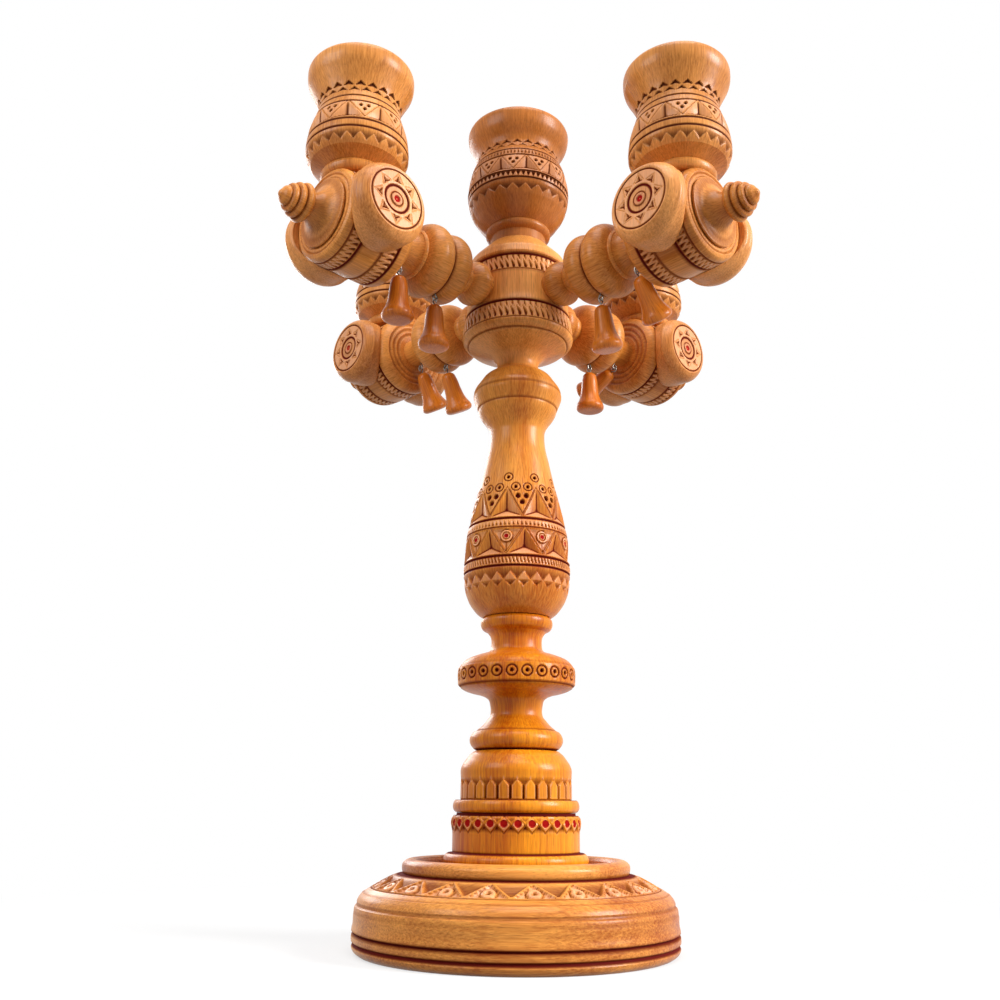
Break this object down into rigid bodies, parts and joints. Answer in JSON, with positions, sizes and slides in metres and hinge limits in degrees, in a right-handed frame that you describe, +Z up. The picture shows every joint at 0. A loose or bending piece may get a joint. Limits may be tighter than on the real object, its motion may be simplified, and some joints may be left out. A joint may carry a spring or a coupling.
{
  "type": "candelabra",
  "caption": "Turned and carved wooden table candelabra: round base, baluster column, and level arms from a central hub with candle cups, drum ends and hanging wooden bells.",
  "frame": {"origin": "centre of the base's underside, on the surface it stands on", "axes": "+Z up the column; +X to the right and -Y towards the viewer in the picture; the arms lie midway between X and Y"},
  "size_m": [0.2168, 0.2168, 0.4136],
  "materials": {
    "turned_wood": "glossy varnish over carved beech",
    "bell_wood": "glossy orange-brown lacquer",
    "wire": "bright drawn wire"
  },
  "bodies": {
    "candelabra": {"base_disc": "turned_wood", "foot_drum": "turned_wood", "picket_drum": "turned_wood", "disc_stem": "turned_wood", "baluster": "turned_wood", "hub": "turned_wood", "centre_cup": "turned_wood", "back_right_arm": "turned_wood", "back_right_barrel": "turned_wood", "back_right_medallion_left": "turned_wood", "back_right_medallion_right": "turned_wood", "back_right_finial": "turned_wood", "back_right_cup": "turned_wood", "back_right_inner_eye": "wire", "back_right_outer_eye": "wire", "back_left_arm": "turned_wood", "back_left_barrel": "turned_wood", "back_left_medallion_left": "turned_wood", "back_left_medallion_right": "turned_wood", "back_left_finial": "turned_wood", "back_left_cup": "turned_wood", "back_left_inner_eye": "wire", "back_left_outer_eye": "wire", "front_left_arm": "turned_wood", "front_left_barrel": "turned_wood", "front_left_medallion_left": "turned_wood", "front_left_medallion_right": "turned_wood", "front_left_finial": "turned_wood", "front_left_cup": "turned_wood", "front_left_inner_eye": "wire", "front_left_outer_eye": "wire", "front_right_arm": "turned_wood", "front_right_barrel": "turned_wood", "front_right_medallion_left": "turned_wood", "front_right_medallion_right": "turned_wood", "front_right_finial": "turned_wood", "front_right_cup": "turned_wood", "front_right_inner_eye": "wire", "front_right_outer_eye": "wire"},
    "back_right_inner_pendant": {"back_right_inner_bell_eye": "wire", "back_right_inner_bell": "bell_wood"},
    "back_right_outer_pendant": {"back_right_outer_bell_eye": "wire", "back_right_outer_bell": "bell_wood"},
    "back_left_inner_pendant": {"back_left_inner_bell_eye": "wire", "back_left_inner_bell": "bell_wood"},
    "back_left_outer_pendant": {"back_left_outer_bell_eye": "wire", "back_left_outer_bell": "bell_wood"},
    "front_left_inner_pendant": {"front_left_inner_bell_eye": "wire", "front_left_inner_bell": "bell_wood"},
    "front_left_outer_pendant": {"front_left_outer_bell_eye": "wire", "front_left_outer_bell": "bell_wood"},
    "front_right_inner_pendant": {"front_right_inner_bell_eye": "wire", "front_right_inner_bell": "bell_wood"},
    "front_right_outer_pendant": {"front_right_outer_bell_eye": "wire", "front_right_outer_bell": "bell_wood"}
  },
  "joints": [
    {"name": "back_right_inner_swing", "type": "hinge", "parent": "candelabra", "child": "back_right_inner_pendant", "pos_m": [0.03981, 0.03981, 0.2928], "axis": [0.7071, 0.7071, 0], "range_deg": [-70, 70]},
    {"name": "back_right_outer_swing", "type": "hinge", "parent": "candelabra", "child": "back_right_outer_pendant", "pos_m": [0.05544, 0.05544, 0.2996], "axis": [0.7071, 0.7071, 0], "range_deg": [-138, 2]},
    {"name": "back_left_inner_swing", "type": "hinge", "parent": "candelabra", "child": "back_left_inner_pendant", "pos_m": [-0.03981, 0.03981, 0.2928], "axis": [-0.7071, 0.7071, 0], "range_deg": [-44, 96]},
    {"name": "back_left_outer_swing", "type": "hinge", "parent": "candelabra", "child": "back_left_outer_pendant", "pos_m": [-0.05544, 0.05544, 0.2996], "axis": [-0.7071, 0.7071, 0], "range_deg": [-40, 100]},
    {"name": "front_left_inner_swing", "type": "hinge", "parent": "candelabra", "child": "front_left_inner_pendant", "pos_m": [-0.03981, -0.03981, 0.2928], "axis": [-0.7071, -0.7071, 0], "range_deg": [-70, 70]},
    {"name": "front_left_outer_swing", "type": "hinge", "parent": "candelabra", "child": "front_left_outer_pendant", "pos_m": [-0.05544, -0.05544, 0.2996], "axis": [-0.7071, -0.7071, 0], "range_deg": [-70, 70]},
    {"name": "front_right_inner_swing", "type": "hinge", "parent": "candelabra", "child": "front_right_inner_pendant", "pos_m": [0.03981, -0.03981, 0.2928], "axis": [0.7071, -0.7071, 0], "range_deg": [-80, 60]},
    {"name": "front_right_outer_swing", "type": "hinge", "parent": "candelabra", "child": "front_right_outer_pendant", "pos_m": [0.05544, -0.05544, 0.2996], "axis": [0.7071, -0.7071, 0], "range_deg": [-108, 32]}
  ]
}
